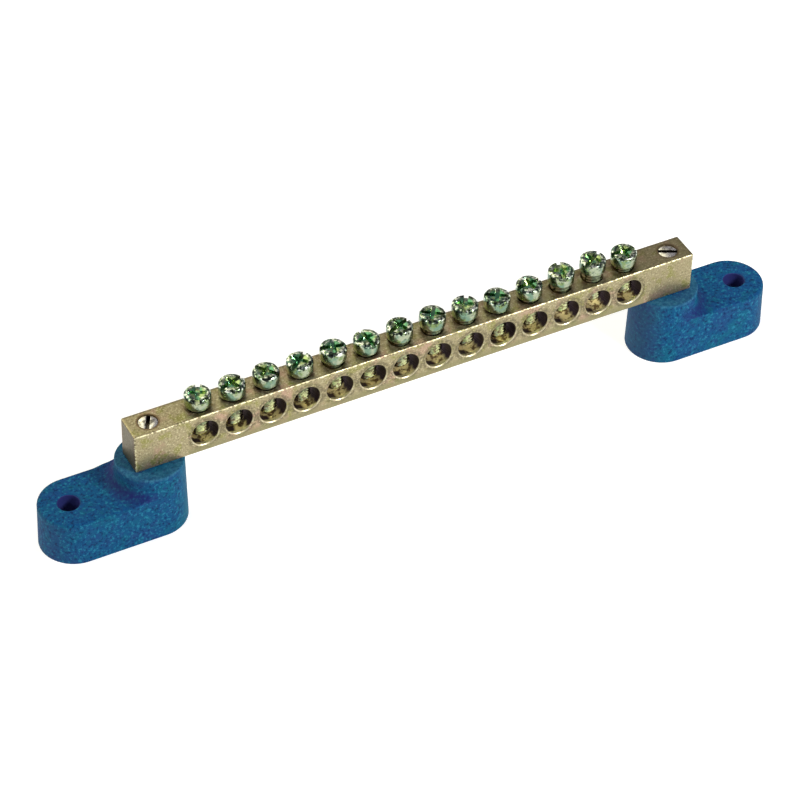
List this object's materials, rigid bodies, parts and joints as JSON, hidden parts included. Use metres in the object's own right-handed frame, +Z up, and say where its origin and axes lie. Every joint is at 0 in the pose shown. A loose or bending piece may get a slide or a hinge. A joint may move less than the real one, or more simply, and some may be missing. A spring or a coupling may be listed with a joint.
{
  "type": "earth terminal bar",
  "caption": "Brass earth bar with a row of clamp screws over cross-drilled wire holes, carried on two blue insulating feet with mounting holes.",
  "frame": {"origin": "on the mounting surface, at the middle of the box around the part, midway between the two feet", "axes": "+X along the bar, +Z up from the mounting surface, wires pushed in from -Y"},
  "size_m": [0.1598, 0.0142, 0.0283],
  "materials": {
    "bar_brass": "drawn, dull bright",
    "passivated_steel": "zinc plated, green iridescent passivation",
    "bright_steel": "bright zinc plated",
    "blue_plastic": "moulded, fine matte grain",
    "insert_brass": "turned"
  },
  "bodies": {
    "bar_and_feet": {"terminal_bar": "bar_brass", "insulator_left": "blue_plastic", "insulator_right": "blue_plastic", "fixing_screw_left": "bright_steel", "fixing_screw_right": "bright_steel", "threaded_insert_left": "insert_brass", "threaded_insert_right": "insert_brass"},
    "screw_01": {"clamp_screw_01": "passivated_steel"},
    "screw_02": {"clamp_screw_02": "passivated_steel"},
    "screw_03": {"clamp_screw_03": "passivated_steel"},
    "screw_04": {"clamp_screw_04": "passivated_steel"},
    "screw_05": {"clamp_screw_05": "passivated_steel"},
    "screw_06": {"clamp_screw_06": "passivated_steel"},
    "screw_07": {"clamp_screw_07": "passivated_steel"},
    "screw_08": {"clamp_screw_08": "passivated_steel"},
    "screw_09": {"clamp_screw_09": "passivated_steel"},
    "screw_10": {"clamp_screw_10": "passivated_steel"},
    "screw_11": {"clamp_screw_11": "passivated_steel"},
    "screw_12": {"clamp_screw_12": "passivated_steel"},
    "screw_13": {"clamp_screw_13": "passivated_steel"},
    "screw_14": {"clamp_screw_14": "passivated_steel"}
  },
  "joints": [
    {"name": "clamp_travel_01", "type": "slide", "parent": "bar_and_feet", "child": "screw_01", "axis": [0, 0, 1], "range_m": [-0.0002, 0.00535]},
    {"name": "clamp_travel_02", "type": "slide", "parent": "bar_and_feet", "child": "screw_02", "axis": [0, 0, 1], "range_m": [0, 0.00555]},
    {"name": "clamp_travel_03", "type": "slide", "parent": "bar_and_feet", "child": "screw_03", "axis": [0, 0, 1], "range_m": [-0.0002, 0.00535]},
    {"name": "clamp_travel_04", "type": "slide", "parent": "bar_and_feet", "child": "screw_04", "axis": [0, 0, 1], "range_m": [-0.0001, 0.00545]},
    {"name": "clamp_travel_05", "type": "slide", "parent": "bar_and_feet", "child": "screw_05", "axis": [0, 0, 1], "range_m": [-0.0006, 0.00495]},
    {"name": "clamp_travel_06", "type": "slide", "parent": "bar_and_feet", "child": "screw_06", "axis": [0, 0, 1], "range_m": [-0.0002, 0.00535]},
    {"name": "clamp_travel_07", "type": "slide", "parent": "bar_and_feet", "child": "screw_07", "axis": [0, 0, 1], "range_m": [-0.0006, 0.00495]},
    {"name": "clamp_travel_08", "type": "slide", "parent": "bar_and_feet", "child": "screw_08", "axis": [0, 0, 1], "range_m": [-0.0009, 0.00465]},
    {"name": "clamp_travel_09", "type": "slide", "parent": "bar_and_feet", "child": "screw_09", "axis": [0, 0, 1], "range_m": [-0.0007, 0.00485]},
    {"name": "clamp_travel_10", "type": "slide", "parent": "bar_and_feet", "child": "screw_10", "axis": [0, 0, 1], "range_m": [0, 0.00555]},
    {"name": "clamp_travel_11", "type": "slide", "parent": "bar_and_feet", "child": "screw_11", "axis": [0, 0, 1], "range_m": [-0.0004, 0.00515]},
    {"name": "clamp_travel_12", "type": "slide", "parent": "bar_and_feet", "child": "screw_12", "axis": [0, 0, 1], "range_m": [-0.0012, 0.00435]},
    {"name": "clamp_travel_13", "type": "slide", "parent": "bar_and_feet", "child": "screw_13", "axis": [0, 0, 1], "range_m": [-0.0015, 0.00405]},
    {"name": "clamp_travel_14", "type": "slide", "parent": "bar_and_feet", "child": "screw_14", "axis": [0, 0, 1], "range_m": [-0.0007, 0.00485]}
  ]
}
